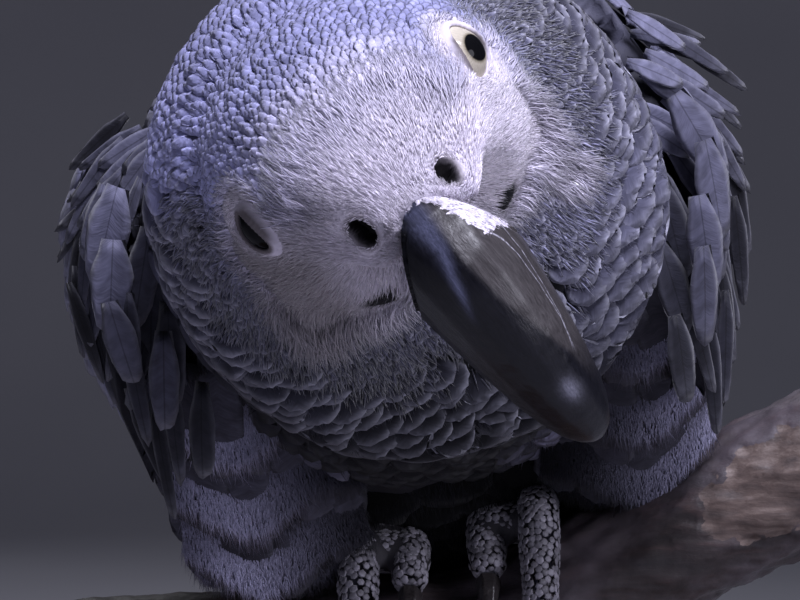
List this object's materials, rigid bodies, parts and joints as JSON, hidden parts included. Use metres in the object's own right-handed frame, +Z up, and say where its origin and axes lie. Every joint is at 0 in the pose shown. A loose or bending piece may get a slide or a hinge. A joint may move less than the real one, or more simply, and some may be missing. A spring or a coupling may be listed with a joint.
{
  "type": "grey parrot",
  "caption": "Life-size grey parrot leaning forward with its head cocked to one side, gripping a short cut branch held up by a plain round display stand.",
  "frame": {"origin": "middle of the flat underside of the stand's round base", "axes": "+Z up; the bird faces -Y and its left side is +X"},
  "size_m": [0.17, 0.2928, 0.2008],
  "materials": {
    "plumage": "soft pale-edged grey feathers",
    "tail_red": "smooth scarlet feathers",
    "bare_skin": "bare whitish skin",
    "eye": "wet gloss, pale iris and black pupil",
    "horn": "worn black horn",
    "scaly_skin": "grey scaly skin",
    "bark": "dark rough bark",
    "stand_wood": "satin turned wood",
    "stand_steel": "brushed rod"
  },
  "bodies": {
    "root": {"head": "plumage", "neck": "plumage", "trunk": "plumage", "wing_left": "plumage", "wing_right": "plumage", "thigh_left": "plumage", "thigh_right": "plumage", "tail": "tail_red", "cere": "bare_skin", "eye_left": "eye", "eye_right": "eye", "bill_upper": "horn", "bill_lower": "horn", "tarsus_left": "scaly_skin", "tarsus_right": "scaly_skin", "foot_left": "scaly_skin", "foot_right": "scaly_skin", "toe_front_outer_left": "scaly_skin", "claw_front_outer_left": "horn", "toe_front_outer_right": "scaly_skin", "claw_front_outer_right": "horn", "toe_front_inner_left": "scaly_skin", "claw_front_inner_left": "horn", "toe_front_inner_right": "scaly_skin", "claw_front_inner_right": "horn", "toe_back_outer_left": "scaly_skin", "claw_back_outer_left": "horn", "toe_back_outer_right": "scaly_skin", "claw_back_outer_right": "horn", "toe_back_inner_left": "scaly_skin", "claw_back_inner_left": "horn", "toe_back_inner_right": "scaly_skin", "claw_back_inner_right": "horn", "perch_branch": "bark", "stand_base": "stand_wood", "stand_rod_left": "stand_steel", "stand_rod_right": "stand_steel"}
  },
  "joints": []
}
